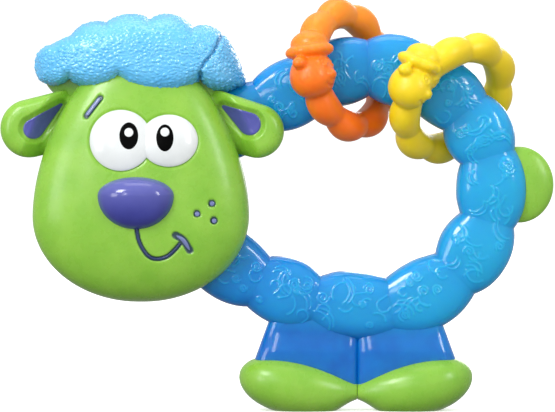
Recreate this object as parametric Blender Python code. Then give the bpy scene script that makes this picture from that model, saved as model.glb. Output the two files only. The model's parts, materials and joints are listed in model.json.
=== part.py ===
"""Lamb-shaped teething ring, filled with water, with two soft loops threaded on its ring.

Units are metres and +Z is up. The lamb stands on its boots and its face looks towards -Y.
Dimensions below are in millimetres. Heights are measured from the soles, and depths from the
parting plane, where the front and the rear mouldings meet.
"""

import math

import bmesh
import bpy
from mathutils import Matrix, Vector

MM = 0.001

# Fits and walls
GAP = 0.3                     # clearance between neighbouring pieces
SKIN = 1.6                    # wall of the soft blue bladder
WALL = 2.0                    # wall of the hard green and light-blue mouldings
PARTING_Y = 2.9               # parting plane, behind the middle of the object's depth

# Ring of the bladder: an arc whose two ends run into the head
RING_X = 26.1
RING_Z = 61.5
RING_R = 33.0                 # radius of the tube's centreline
ARC_START = 115.0             # degrees, anticlockwise from +X
ARC_END = -95.0
UPPER_END = (-19.0, 75.0)     # where the tube ends inside the head
LOWER_END = (-21.2, 47.2)
UPPER_PULL = (8.5, 5.6)       # Bezier handles of the two stretches between the arc and the ends
LOWER_PULL = (9.2, -7.7)
FIRST_PULL = 10.0
LAST_PULL = 20.0
LOBE_HALF_WIDTH = 9.35        # tube, across the ring's plane
CUSP_HALF_WIDTH = 7.8
LOBE_HALF_DEPTH = 6.1         # tube, front to back
CUSP_HALF_DEPTH = 5.4
NECK_LENGTH = 30.0            # upper end that thins to pass behind the right ear
NECK_HALF_DEPTH = 4.0
CUSP_ANGLES = (92.0, 65.0, 39.0, 15.0, -16.0, -46.0, -81.0)
CUSPS_BEFORE_ARC = (17.2, 1.7)
CUSPS_AFTER_ARC = (12.7, 29.3)
TUBE_BOX = 2.2                # superellipse exponent of the tube's section
END_STEPS = 60                # points of the centreline along each free end, and along the arc
ARC_STEPS = 200
LOBE_STEPS = 5

# Legs and boots
LEGS_X = 22.1                 # plane between the two legs
LEG_HALF_WIDTH = 26.6         # from that plane to a leg's outer edge, at the boot
LEG_TOP_Z = 31.0
LEG_HALF_DEPTH = 5.0
LEG_SPLAY = 0.42              # how far the outer edge leans out, per unit of height
BOOT_OUTER_X = 32.6           # from the plane between the legs to the boot's tip
BOOT_HALF_LENGTH = 17.6
BOOT_HALF_HEIGHT = 7.7
BOOT_INNER_Z = 4.9            # height of its middle, where the two boots meet
BOOT_RISE = 5.9               # how much higher the middle is at its tip
BOOT_HALF_DEPTH = 9.0

# Head, an egg with its wide end down
HEAD_X = -37.4
HEAD_WIDE_Z = 53.8            # height of its widest level
HEAD_DOWN = 23.7
HEAD_UP = 48.0
HEAD_HALF_WIDTH = 29.6
HEAD_FRONT = 17.0
HEAD_REAR = 12.6
HEAD_BOX = 2.6                # superellipse exponent of its level sections

# Fleece cap
CAP_X = -38.6
CAP_Z = 97.6
CAP_HALF_WIDTH = 28.2
CAP_UP = 10.2
CAP_DOWN = 8.0
CAP_FRONT = 14.6
CAP_REAR = 13.6
CAP_LOBES = 6
CAP_LOBE_HEIGHT = 1.2

# Ears
EAR_X = 27.2                  # from the head's middle to the ear's middle
EAR_Z = 79.8
EAR_LONG = 12.3
EAR_SHORT = 8.0
EAR_HALF_DEPTH = 2.9
EAR_Y = -8.2                  # in front of the ring's upper end
EAR_STEM_R = 1.7
EAR_DROOP = 38.0              # degrees that the ear's long axis drops outwards

# Face
NOSE_X = -38.9
NOSE_Z = 57.3
NOSE_HALF_WIDTH = 10.4
NOSE_HALF_HEIGHT = 7.1
NOSE_Y = -15.6
NOSE_HALF_DEPTH = 6.4
NOSE_PEG_R = 2.4
EYE_POCKET = 1.0              # depth of the pocket that the eye plate sits in
EYE_PROUD = 0.5               # how far the eye plate stands out of the face
EYES = ((-44.4, 74.6, 8.1, 8.5), (-29.9, 74.4, 7.5, 7.2))   # x, z, half width, half height

POSTS = ((-54.0, 50.0), (-37.0, 88.0), (-36.0, 42.0))   # weld posts inside the head

# Tail
TAIL_X = 66.7
TAIL_Z = 63.4
TAIL_HALF_WIDTH = 9.5
TAIL_HALF_HEIGHT = 10.3
TAIL_HALF_DEPTH = 4.4
TAIL_LUG_R = 1.8             # lug on the ring that the tail closes round

# Soft loops threaded on the ring
LOOP_R = 15.3                 # radius of the band's centreline
LOOP_LOBES = 9
LOOP_LOBE_R = 4.1
LOOP_CUSP_R = 3.3
MINI_HEAD = (5.7, 6.4, 6.9)   # half sizes: off the loop's plane, across the band, along the band
ORANGE_ANGLE = 103.5          # place on the ring, degrees anticlockwise from +X
ORANGE_TURN = 37.0            # how far the loop leans off square to the tube
ORANGE_HEAD = 78.0            # place of the small head round the loop
YELLOW_ANGLE = 46.8
YELLOW_TURN = 42.0
YELLOW_HEAD = 95.0


# ---------------------------------------------------------------- scene and materials

def clear_scene():
    for item in list(bpy.data.objects):
        bpy.data.objects.remove(item, do_unlink=True)


def plastic(name, colour, roughness):
    material = bpy.data.materials.new(name)
    material.use_nodes = True
    shader = material.node_tree.nodes["Principled BSDF"]
    shader.inputs["Base Color"].default_value = (*colour, 1.0)
    shader.inputs["Roughness"].default_value = roughness
    shader.inputs["Metallic"].default_value = 0.0
    material.diffuse_color = (*colour, 1.0)
    return material


def add_object(name, bm, material=None, parent=None):
    """A named object from a mesh that is given in millimetres."""
    bmesh.ops.scale(bm, vec=(MM, MM, MM), verts=bm.verts)
    bmesh.ops.recalc_face_normals(bm, faces=bm.faces)
    mesh = bpy.data.meshes.new(name)
    bm.to_mesh(mesh)
    bm.free()
    mesh.shade_smooth()
    mesh.set_sharp_from_angle(angle=math.radians(40))
    item = bpy.data.objects.new(name, mesh)
    bpy.context.scene.collection.objects.link(item)
    item.parent = parent
    if material is not None:
        mesh.materials.append(material)
    return item


def add_cutter(name, bm, parent):
    item = add_object(name, bm, parent=parent)
    item.hide_render = True
    item.display_type = "WIRE"
    return item


def combine(item, operation, other):
    modifier = item.modifiers.new(other.name, "BOOLEAN")
    modifier.operation = operation
    modifier.solver = "EXACT"
    modifier.object = other


# ---------------------------------------------------------------- meshes from surfaces

def superellipse(angle, exponent):
    """Point on a unit superellipse."""
    c = math.cos(angle)
    s = math.sin(angle)
    power = 2.0 / exponent
    return math.copysign(abs(c) ** power, c), math.copysign(abs(s) ** power, s)


def closed_blob(surface, columns, rows):
    """Closed mesh from surface(angle, latitude), both in radians."""
    bm = bmesh.new()
    low = bm.verts.new(surface(0.0, -math.pi / 2))
    high = bm.verts.new(surface(0.0, math.pi / 2))
    grid = []
    for i in range(1, rows):
        latitude = math.pi * (i / rows - 0.5)
        ring = [bm.verts.new(surface(math.tau * j / columns, latitude)) for j in range(columns)]
        grid.append(ring)
    for j in range(columns):
        k = (j + 1) % columns
        bm.faces.new((low, grid[0][k], grid[0][j]))
        bm.faces.new((high, grid[-1][j], grid[-1][k]))
        for lower, upper in zip(grid, grid[1:]):
            bm.faces.new((lower[j], lower[k], upper[k], upper[j]))
    return bm


def half_shell(outer, inner, columns, rows, side):
    """One open half of a hollow moulding.

    outer and inner are surfaces as for closed_blob, whose first half turn is the front.
    side is -1 for the front half and 1 for the rear half.
    """
    bm = bmesh.new()
    edges = []
    for surface in (outer, inner):
        def point(angle, latitude):
            x, y, z = surface(-side * angle, latitude)
            return x, side * (abs(y) + GAP / 2), z
        low = bm.verts.new(point(0.0, -math.pi / 2))
        high = bm.verts.new(point(0.0, math.pi / 2))
        grid = []
        for i in range(1, rows):
            latitude = math.pi * (i / rows - 0.5)
            row = [bm.verts.new(point(math.pi * j / columns, latitude)) for j in range(columns + 1)]
            grid.append(row)
        for j in range(columns):
            bm.faces.new((low, grid[0][j + 1], grid[0][j]))
            bm.faces.new((high, grid[-1][j], grid[-1][j + 1]))
            for lower, upper in zip(grid, grid[1:]):
                bm.faces.new((lower[j], lower[j + 1], upper[j + 1], upper[j]))
        edges.append([low] + [row[0] for row in grid] + [high] + [row[-1] for row in reversed(grid)])
    outer_edge, inner_edge = edges
    count = len(outer_edge)
    for i in range(count):
        k = (i + 1) % count
        bm.faces.new((outer_edge[i], outer_edge[k], inner_edge[k], inner_edge[i]))
    return bm


def box(low, high):
    bm = bmesh.new()
    bmesh.ops.create_cube(bm, size=1.0)
    for vert in bm.verts:
        for axis in range(3):
            vert.co[axis] = low[axis] if vert.co[axis] < 0 else high[axis]
    return bm


def rod(start, end, radius, sides=12):
    """Straight round bar from start to end."""
    start = Vector(start)
    axis = Vector(end) - start
    bm = bmesh.new()
    bmesh.ops.create_cone(bm, cap_ends=True, segments=sides, radius1=radius, radius2=radius,
                          depth=axis.length)
    turn = axis.to_track_quat("Z", "Y").to_matrix().to_4x4()
    bmesh.ops.transform(bm, matrix=Matrix.Translation(start + axis / 2) @ turn, verts=bm.verts)
    return bm


# ---------------------------------------------------------------- the ring's centreline

def on_arc(degrees):
    angle = math.radians(degrees)
    return Vector((RING_X + RING_R * math.cos(angle), RING_Z + RING_R * math.sin(angle)))


def clockwise(degrees):
    angle = math.radians(degrees)
    return Vector((math.sin(angle), -math.cos(angle)))


def bezier(points, t):
    a, b, c, d = points
    s = 1.0 - t
    return s * s * s * a + 3 * s * s * t * b + 3 * s * t * t * c + t * t * t * d


def centreline():
    """Fine list of points along the tube, from its upper end round to its lower end."""
    upper = Vector(UPPER_END)
    lower = Vector(LOWER_END)
    first = on_arc(ARC_START)
    last = on_arc(ARC_END)
    entry = (upper, upper + Vector(UPPER_PULL), first - FIRST_PULL * clockwise(ARC_START), first)
    leave = (last, last + LAST_PULL * clockwise(ARC_END), lower + Vector(LOWER_PULL), lower)
    points = [bezier(entry, i / END_STEPS) for i in range(END_STEPS)]
    sweep = ARC_END - ARC_START
    points += [on_arc(ARC_START + sweep * i / ARC_STEPS) for i in range(ARC_STEPS)]
    points += [bezier(leave, i / END_STEPS) for i in range(END_STEPS + 1)]
    return points


class Path:
    """The centreline with distances measured along it."""

    def __init__(self):
        self.points = centreline()
        self.distance = [0.0]
        for a, b in zip(self.points, self.points[1:]):
            self.distance.append(self.distance[-1] + (b - a).length)
        self.length = self.distance[-1]
        self.arc_start = self.distance[END_STEPS]
        self.arc_end = self.distance[END_STEPS + ARC_STEPS]

    def at(self, s):
        """Centre and outward normal at distance s, both in the ring's plane."""
        i = 0
        while i < len(self.points) - 2 and self.distance[i + 1] < s:
            i += 1
        a = self.points[i]
        b = self.points[i + 1]
        t = (s - self.distance[i]) / (self.distance[i + 1] - self.distance[i])
        tangent = (b - a).normalized()
        return a + t * (b - a), Vector((-tangent.y, tangent.x))

    def cusps(self):
        """Distances at which the tube is pinched between two fleece lobes."""
        per_degree = RING_R * math.radians(1.0)
        marks = [0.0] + [self.arc_start - before for before in CUSPS_BEFORE_ARC]
        marks += [self.arc_start + (ARC_START - angle) * per_degree for angle in CUSP_ANGLES]
        marks += [self.arc_end + after for after in CUSPS_AFTER_ARC] + [self.length]
        return marks


PATH = Path()


def tube(offset, columns, end_inset=0.0):
    """The bladder's lobed tube, grown or shrunk by offset, with flat ends."""
    bm = bmesh.new()
    marks = PATH.cusps()
    stations = []
    for a, b in zip(marks, marks[1:]):
        for k in range(LOBE_STEPS):
            t = k / LOBE_STEPS
            stations.append((a + (b - a) * t, 1.0 - (2.0 * t - 1.0) ** 2))
    stations.append((marks[-1], 0.0))
    rings = []
    for s, bulge in stations:
        s = min(max(s, end_inset + 0.001 * s), PATH.length - end_inset - 0.001 * (PATH.length - s))
        centre, normal = PATH.at(s)
        width = CUSP_HALF_WIDTH + (LOBE_HALF_WIDTH - CUSP_HALF_WIDTH) * bulge + offset
        depth = CUSP_HALF_DEPTH + (LOBE_HALF_DEPTH - CUSP_HALF_DEPTH) * bulge + offset
        if s < NECK_LENGTH:
            neck = NECK_HALF_DEPTH + offset
            depth = neck + (depth - neck) * (s / NECK_LENGTH) ** 2
        ring = []
        for j in range(columns):
            across, back = superellipse(math.tau * (j + 0.5) / columns, TUBE_BOX)
            place = centre + normal * across * width
            ring.append(bm.verts.new((place.x, back * depth, place.y)))
        rings.append(ring)
    for a, b in zip(rings, rings[1:]):
        for j in range(columns):
            k = (j + 1) % columns
            bm.faces.new((a[j], a[k], b[k], b[j]))
    bm.faces.new(rings[0])
    bm.faces.new(rings[-1])
    return bm


# ---------------------------------------------------------------- surfaces of the mouldings

def head_surface(side_depths, offset):
    """Egg-shaped head. side_depths are its front and rear depths."""
    def surface(angle, latitude):
        rise = math.sin(latitude)
        if rise < 0:
            z = HEAD_WIDE_Z + rise * (HEAD_DOWN + offset)
            ratio = math.sqrt(max(0.0, 1.0 - rise * rise))
        else:
            z = HEAD_WIDE_Z + rise * (HEAD_UP + offset)
            ratio = max(0.0, 1.0 - rise * rise) ** 0.6
        across, back = superellipse(angle, HEAD_BOX)
        depth = side_depths[0] if back > 0 else side_depths[1]
        x = HEAD_X + across * ratio * (HEAD_HALF_WIDTH + offset)
        return x, -back * ratio ** 0.85 * (depth + offset), z
    return surface


def head_depth(x, z, depth):
    """Depth of the head's surface at a place in front view."""
    rise = (z - HEAD_WIDE_Z) / (HEAD_UP if z > HEAD_WIDE_Z else HEAD_DOWN)
    ratio = math.sqrt(1.0 - rise * rise) if rise < 0 else (1.0 - rise * rise) ** 0.6
    across = min(1.0, abs(x - HEAD_X) / (ratio * HEAD_HALF_WIDTH))
    return depth * ratio ** 0.85 * (1.0 - across ** HEAD_BOX) ** (1.0 / HEAD_BOX)


def full_head(offset, columns=22, rows=12):
    return closed_blob(head_surface((HEAD_FRONT, HEAD_REAR), offset), columns, rows)


def cap_surface(depths, offset):
    """Fleece cap: a broad dome with lobes along its crown and a nearly flat underside."""
    def surface(angle, latitude):
        rise = math.sin(latitude)
        ratio = math.sqrt(max(0.0, 1.0 - abs(rise) ** 3.4))
        across, back = superellipse(angle, 2.3)
        reach = CAP_UP if rise > 0 else CAP_DOWN
        side = across * ratio
        lobe = abs(math.sin(math.pi * CAP_LOBES * (side + 1.0) / 2.0)) * CAP_LOBE_HEIGHT
        swell = 1.0 + lobe / CAP_HALF_WIDTH
        depth = depths[0] if back > 0 else depths[1]
        x = CAP_X + side * (CAP_HALF_WIDTH + offset) * swell
        z = CAP_Z + rise * (reach + offset) + (lobe if rise > 0 else 0.0) * abs(rise)
        return x, -back * ratio * (depth + offset) * swell, z
    return surface


def boot_middle_z(reach):
    """Height of a boot's middle, where reach is the distance from the plane between the legs."""
    return BOOT_INNER_Z + BOOT_RISE * (max(reach, 0.0) / BOOT_OUTER_X) ** 1.5


def boot_surface(hand, offset):
    """One boot, fat at its outer end. hand is -1 for the left boot in front view."""
    def surface(angle, latitude):
        along = math.sin(latitude)
        reach = BOOT_OUTER_X - BOOT_HALF_LENGTH + along * (BOOT_HALF_LENGTH + offset)
        taper = math.sqrt(max(0.0, 1.0 - along * along)) * (1.0 + 0.22 * along)
        up, front = superellipse(angle, 2.2)
        z = boot_middle_z(reach) + up * taper * (BOOT_HALF_HEIGHT + offset)
        reach = max(reach, GAP / 2 - offset)
        return LEGS_X + hand * reach, -front * taper * (BOOT_HALF_DEPTH + offset), max(z, -offset)
    return surface


def leg(hand, offset, columns=12, rows=5):
    """One leg of the bladder, from inside the ring's tube down into its boot."""
    bm = bmesh.new()
    rings = []
    for i in range(rows + 1):
        t = i / rows
        ring = []
        for j in range(columns):
            out, front = superellipse(math.tau * (j + 0.5) / columns, 3.0)
            half = LEG_HALF_WIDTH / 2 + offset
            reach = LEG_HALF_WIDTH / 2 - 0.4 + out * half
            bottom = boot_middle_z(reach) - 0.5 - offset
            z = LEG_TOP_Z + offset + (bottom - LEG_TOP_Z - offset) * t
            reach += LEG_SPLAY * (16.0 - z) * max(0.0, reach / LEG_HALF_WIDTH)
            ring.append(bm.verts.new((LEGS_X + hand * reach, front * (LEG_HALF_DEPTH + offset), z)))
        rings.append(ring)
    for a, b in zip(rings, rings[1:]):
        for j in range(columns):
            k = (j + 1) % columns
            bm.faces.new((a[j], a[k], b[k], b[j]))
    bm.faces.new(rings[0])
    bm.faces.new(rings[-1])
    return bm


def ear_surface(hand, long_half, short_half, depth, forward=0.0, shift=0.0):
    """Drooping ear, a flattened drop whose narrow end points at the head."""
    droop = math.radians(EAR_DROOP)

    def surface(angle, latitude):
        out = math.cos(angle) * math.cos(latitude)
        along = math.sin(latitude)
        narrow = 1.0 - 0.32 * along
        across = out * short_half * narrow
        run = along * long_half - shift
        x = -run * math.cos(droop) + across * math.sin(droop)
        z = run * math.sin(droop) + across * math.cos(droop)
        y = math.sin(angle) * math.cos(latitude) * depth * narrow
        return HEAD_X + 0.5 + hand * (EAR_X + x), EAR_Y - forward + y, EAR_Z + z
    return surface


def nose_surface(offset):
    """Egg-shaped nose, fuller at its top."""
    def surface(angle, latitude):
        rise = math.sin(latitude)
        ratio = math.cos(latitude) * (1.0 + 0.08 * rise)
        x = NOSE_X + math.cos(angle) * ratio * (NOSE_HALF_WIDTH + offset)
        y = NOSE_Y - math.sin(angle) * ratio * (NOSE_HALF_DEPTH + offset)
        return x, y, NOSE_Z + rise * (NOSE_HALF_HEIGHT + offset)
    return surface


def tail_surface(offset):
    def surface(angle, latitude):
        rise = math.sin(latitude)
        ratio = math.cos(latitude)
        x = TAIL_X + math.cos(angle) * ratio * (TAIL_HALF_WIDTH + offset)
        y = -math.sin(angle) * ratio * (TAIL_HALF_DEPTH + offset)
        return x, y, TAIL_Z + rise * (TAIL_HALF_HEIGHT + offset)
    return surface


def ray_to_ellipse(start, direction, ellipse):
    """Distance from a point inside an ellipse to its outline."""
    x, z, half_width, half_height = ellipse
    px = (start[0] - x) / half_width
    pz = (start[1] - z) / half_height
    dx = direction[0] / half_width
    dz = direction[1] / half_height
    a = dx * dx + dz * dz
    b = px * dx + pz * dz
    c = px * px + pz * pz - 1.0
    return (-b + math.sqrt(b * b - a * c)) / a


def eye_prism(grow, steps=44):
    """Prism over the joined outline of the two eyes, running back into the head."""
    eyes = [(x, z, half_width + grow, half_height + grow) for x, z, half_width, half_height in EYES]
    middle = ((eyes[0][0] + eyes[1][0]) / 2.0 - 0.2, (eyes[0][1] + eyes[1][1]) / 2.0)
    bm = bmesh.new()
    front = []
    rear = []
    for i in range(steps):
        angle = math.tau * (i + 0.5) / steps
        direction = (math.cos(angle), math.sin(angle))
        reach = max(ray_to_ellipse(middle, direction, eye) for eye in eyes)
        x = middle[0] + direction[0] * reach
        z = middle[1] + direction[1] * reach
        front.append(bm.verts.new((x, -HEAD_FRONT - 8.0, z)))
        rear.append(bm.verts.new((x, -5.0, z)))
    for i in range(steps):
        k = (i + 1) % steps
        bm.faces.new((front[i], front[k], rear[k], rear[i]))
    bm.faces.new(front)
    bm.faces.new(rear)
    return bm


def loop_frame(degrees, turn):
    """Axes of a loop on the tube: outward along the ring, across its own plane, and its normal."""
    angle = math.radians(degrees)
    lean = math.radians(turn)
    outward = Vector((math.cos(angle), 0.0, math.sin(angle)))
    along = Vector((math.sin(angle), 0.0, -math.cos(angle)))
    back = Vector((0.0, 1.0, 0.0))
    across = along * math.sin(lean) + back * math.cos(lean)
    normal = along * math.cos(lean) - back * math.sin(lean)
    return outward, across, normal


def loop_band(degrees, turn):
    """Bumpy band of a loop. Points are relative to the ring's middle."""
    outward, across, normal = loop_frame(degrees, turn)
    centre = outward * RING_R
    bm = bmesh.new()
    count = LOOP_LOBES * 4
    rings = []
    for i in range(count):
        angle = math.tau * i / count
        bulge = abs(math.sin(angle * LOOP_LOBES / 2.0)) ** 0.8
        radius = LOOP_CUSP_R + (LOOP_LOBE_R - LOOP_CUSP_R) * bulge
        out = outward * math.cos(angle) - across * math.sin(angle)
        ring = []
        for j in range(8):
            c = math.cos(math.tau * j / 8)
            s = math.sin(math.tau * j / 8)
            ring.append(bm.verts.new(centre + out * (LOOP_R + c * radius) + normal * s * radius))
        rings.append(ring)
    for i, a in enumerate(rings):
        b = rings[(i + 1) % count]
        for j in range(8):
            k = (j + 1) % 8
            bm.faces.new((a[j], a[k], b[k], b[j]))
    return bm


def mini_head_part(degrees, turn, place, centre, sizes, columns, rows):
    """Rounded piece of a loop's small head. centre and sizes run along its own axes:
    off the loop's plane, outwards from the loop, and up towards the hat."""
    outward, across, normal = loop_frame(degrees, turn)
    angle = math.radians(place)
    out = outward * math.cos(angle) - across * math.sin(angle)
    up = outward * math.sin(angle) + across * math.cos(angle)
    middle = outward * RING_R + out * (LOOP_R + centre[1]) + normal * centre[0] + up * centre[2]

    def surface(turn_angle, latitude):
        ratio = math.cos(latitude)
        offset = normal * sizes[0] * ratio * math.cos(turn_angle)
        offset += out * sizes[1] * ratio * math.sin(turn_angle)
        offset += up * sizes[2] * math.sin(latitude)
        return middle + offset
    return closed_blob(surface, columns, rows)


# ---------------------------------------------------------------- pieces

def make_bladder(body, blue, water):
    """Front and rear skins of the ring and legs, and the water they hold."""
    outer_legs = [add_cutter(f"leg_outer_{n}", leg(hand, 0.0), body) for n, hand in enumerate((-1, 1))]
    inner_tube = add_cutter("tube_inner", tube(-SKIN, 10, SKIN), body)
    inner_legs = [add_cutter(f"leg_inner_{n}", leg(hand, -SKIN), body)
                  for n, hand in enumerate((-1, 1))]
    lug = add_cutter("tail_lug", rod((RING_X + RING_R + 6.0, 0.0, TAIL_Z),
                                     (TAIL_X + 2.0, 0.0, TAIL_Z), TAIL_LUG_R), body)
    end = Vector((LOWER_END[0], 0.0, LOWER_END[1]))
    inward = Vector((0.77, 0.0, -0.64)).normalized()
    plug_hole = add_cutter("plug_hole", rod(end - inward * 3.0, end + inward * 4.0, 2.0 + GAP), body)
    for side, name in ((-1, "ring_front_shell"), (1, "ring_rear_shell")):
        shell = add_object(name, tube(0.0, 14), blue, body)
        near = side * GAP / 2
        far = side * 30.0
        half = box((-200.0, min(near, far), -10.0), (200.0, max(near, far), 200.0))
        keep = add_cutter("keep_" + name, half, body)
        for piece in outer_legs + [lug]:
            combine(shell, "UNION", piece)
        for piece in [inner_tube] + inner_legs + [plug_hole]:
            combine(shell, "DIFFERENCE", piece)
        combine(shell, "INTERSECT", keep)
    fill = add_object("water_fill", tube(-SKIN - GAP, 10, SKIN + GAP), water, body)
    for n, hand in enumerate((-1, 1)):
        combine(fill, "UNION", add_cutter(f"leg_fill_{n}", leg(hand, -SKIN - 2.0 * GAP), body))
    plug = add_object("fill_plug", rod(end - inward * 1.6, end + inward * 1.2, 2.0), blue, body)
    head = rod(end - inward * (GAP + 1.5), end - inward * GAP, 3.2)
    combine(plug, "UNION", add_cutter("plug_head", head, body))


def make_head(body, green, purple, white):
    """Two head shells with the ears held between them, the nose and the eye plate."""
    depths = (HEAD_FRONT, HEAD_REAR)
    outer = head_surface(depths, 0.0)
    inner = head_surface(depths, -WALL)
    front = add_object("head_front_shell", half_shell(outer, inner, 11, 12, -1), green, body)
    rear = add_object("head_rear_shell", half_shell(outer, inner, 11, 12, 1), green, body)
    clear = add_cutter("tube_clearance", tube(GAP, 14), body)
    around = add_cutter("head_clearance", full_head(GAP), body)
    peg_hole = add_cutter("nose_peg_hole", rod((NOSE_X, -HEAD_FRONT - 4.0, NOSE_Z),
                                               (NOSE_X, -6.0, NOSE_Z), NOSE_PEG_R + GAP), body)
    for shell in (front, rear):
        combine(shell, "DIFFERENCE", clear)
    combine(front, "DIFFERENCE", peg_hole)

    pocket = add_cutter("eye_pocket", eye_prism(GAP), body)
    combine(pocket, "DIFFERENCE", add_cutter("eye_pocket_floor", full_head(-EYE_POCKET), body))
    combine(front, "DIFFERENCE", pocket)
    plate = add_object("eye_plate", full_head(EYE_PROUD), white, body)
    combine(plate, "INTERSECT", add_cutter("eye_outline", eye_prism(0.0), body))
    combine(plate, "DIFFERENCE", add_cutter("eye_plate_back", full_head(-EYE_POCKET + GAP), body))

    nose = add_object("nose", closed_blob(nose_surface(0.0), 18, 10), purple, body)
    combine(nose, "DIFFERENCE", around)
    peg = rod((NOSE_X, -HEAD_FRONT - 1.5, NOSE_Z), (NOSE_X, -HEAD_FRONT + 5.0, NOSE_Z), NOSE_PEG_R)
    combine(nose, "UNION", add_cutter("nose_peg", peg, body))

    for hand, side in ((-1, "left"), (1, "right")):
        solid = ear_surface(hand, EAR_LONG, EAR_SHORT, EAR_HALF_DEPTH)
        ear = add_object(side + "_ear", closed_blob(solid, 14, 9), green, body)
        combine(ear, "DIFFERENCE", around)
        ends = [(HEAD_X + hand * reach, EAR_Y, EAR_Z) for reach in (16.0, EAR_X)]
        combine(ear, "UNION", add_cutter(side + "_ear_stem", rod(*ends, EAR_STEM_R), body))
        hole = add_cutter(side + "_ear_hole", rod(*ends, EAR_STEM_R + GAP), body)
        combine(front, "DIFFERENCE", hole)
        hollow = ear_surface(hand, 7.6, 4.0, 2.2, EAR_HALF_DEPTH - 0.2, 2.6)
        hollow = add_cutter(side + "_ear_hollow", closed_blob(hollow, 12, 8), body)
        combine(ear, "DIFFERENCE", hollow)
        lining = ear_surface(hand, 7.3, 3.7, 1.9, EAR_HALF_DEPTH - 0.2, 2.6)
        inner_ear = add_object(side + "_inner_ear", closed_blob(lining, 12, 8), purple, body)
        front_of_ear = box((-200.0, -40.0, 0.0), (200.0, EAR_Y - EAR_HALF_DEPTH + 0.5, 200.0))
        combine(inner_ear, "DIFFERENCE", add_cutter(side + "_ear_mouth", front_of_ear, body))

    for n, (x, z) in enumerate(POSTS):
        post = rod((x, -2.0, z), (x, head_depth(x, z, HEAD_REAR) - WALL / 2, z), 1.5, 10)
        combine(rear, "UNION", add_cutter(f"post_{n}", post, body))
        wall = head_depth(x, z, HEAD_FRONT) - WALL
        socket = rod((x, -wall - 0.7, z), (x, -1.0, z), 2.9, 10)
        combine(front, "UNION", add_cutter(f"socket_{n}", socket, body))
        bore = rod((x, -wall + 1.0, z), (x, 0.0, z), 1.5 + GAP, 10)
        combine(front, "DIFFERENCE", add_cutter(f"socket_bore_{n}", bore, body))
    return around, clear


def make_cap(body, light_blue, around, clear):
    depths = (CAP_FRONT, CAP_REAR)
    outer = cap_surface(depths, 0.0)
    inner = cap_surface(depths, -WALL)
    for side, name in ((-1, "cap_front"), (1, "cap_rear")):
        half = add_object(name, half_shell(outer, inner, 14, 8, side), light_blue, body)
        combine(half, "DIFFERENCE", around)
        combine(half, "DIFFERENCE", clear)


def make_boots(body, green):
    """Boots in front and rear halves that close round the ends of the legs."""
    for hand, side_name in ((-1, "left"), (1, "right")):
        outer = boot_surface(hand, 0.0)
        inner = boot_surface(hand, -WALL)
        socket = add_cutter(side_name + "_leg_clearance", leg(hand, GAP), body)
        for side, name in ((-1, "front"), (1, "rear")):
            shell = half_shell(outer, inner, 9, 9, side)
            half = add_object(f"{side_name}_boot_{name}", shell, green, body)
            combine(half, "DIFFERENCE", socket)


def make_tail(body, green, clear):
    lug_room = add_cutter("tail_lug_room", rod((RING_X + RING_R, 0.0, TAIL_Z),
                                               (TAIL_X + 2.0 + GAP, 0.0, TAIL_Z),
                                               TAIL_LUG_R + GAP), body)
    for side, name in ((-1, "tail_front"), (1, "tail_rear")):
        shell = half_shell(tail_surface(0.0), tail_surface(-WALL), 8, 8, side)
        half = add_object(name, shell, green, body)
        combine(half, "DIFFERENCE", clear)
        combine(half, "DIFFERENCE", lug_room)


def make_loop(name, body, material, degrees, turn, place):
    """A soft loop with its small lamb head. It turns about the ring's middle as it travels."""
    axis = bpy.data.objects.new(name + "_axis", None)
    bpy.context.scene.collection.objects.link(axis)
    axis.parent = body
    axis.location = Vector((RING_X, 0.0, RING_Z)) * MM
    loop = add_object(name, loop_band(degrees, turn), material, axis)
    parts = {
        "face": ((2.2, 1.0, -1.0), MINI_HEAD, 12, 8),
        "brim": ((2.0, 0.6, 5.6), (6.2, 6.6, 1.6), 12, 5),
        "crown": ((1.2, 0.2, 7.6), (4.6, 4.8, 3.2), 10, 6),
        "ear": ((2.4, 7.0, 2.2), (1.7, 2.2, 1.4), 8, 5),
    }
    for part, (centre, sizes, columns, rows) in parts.items():
        bm = mini_head_part(degrees, turn, place, centre, sizes, columns, rows)
        combine(loop, "UNION", add_cutter(f"{name}_{part}", bm, axis))


def build():
    clear_scene()
    body = bpy.data.objects.new("lamb_axis", None)
    bpy.context.scene.collection.objects.link(body)
    body.location = (0.0, PARTING_Y * MM, 0.0)

    green = plastic("green_plastic", (0.27, 0.58, 0.07), 0.38)
    light_blue = plastic("fleece_blue", (0.16, 0.60, 0.92), 0.55)
    blue = plastic("clear_blue", (0.02, 0.33, 0.74), 0.18)
    water = plastic("water_blue", (0.25, 0.62, 0.90), 0.1)
    purple = plastic("purple_plastic", (0.12, 0.11, 0.42), 0.22)
    white = plastic("eye_white", (0.92, 0.94, 0.93), 0.2)
    orange = plastic("orange_soft", (0.95, 0.24, 0.015), 0.42)
    yellow = plastic("yellow_soft", (0.92, 0.70, 0.03), 0.42)

    make_bladder(body, blue, water)
    around, clear = make_head(body, green, purple, white)
    make_cap(body, light_blue, around, clear)
    make_boots(body, green)
    make_tail(body, green, clear)
    make_loop("orange_loop", body, orange, ORANGE_ANGLE, ORANGE_TURN, ORANGE_HEAD)
    make_loop("yellow_loop", body, yellow, YELLOW_ANGLE, YELLOW_TURN, YELLOW_HEAD)


build()
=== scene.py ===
import json
import random
from math import acos, atan2, cos, pi, radians, sin

import bmesh
import bpy
import numpy as np
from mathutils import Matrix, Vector, noise


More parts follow.
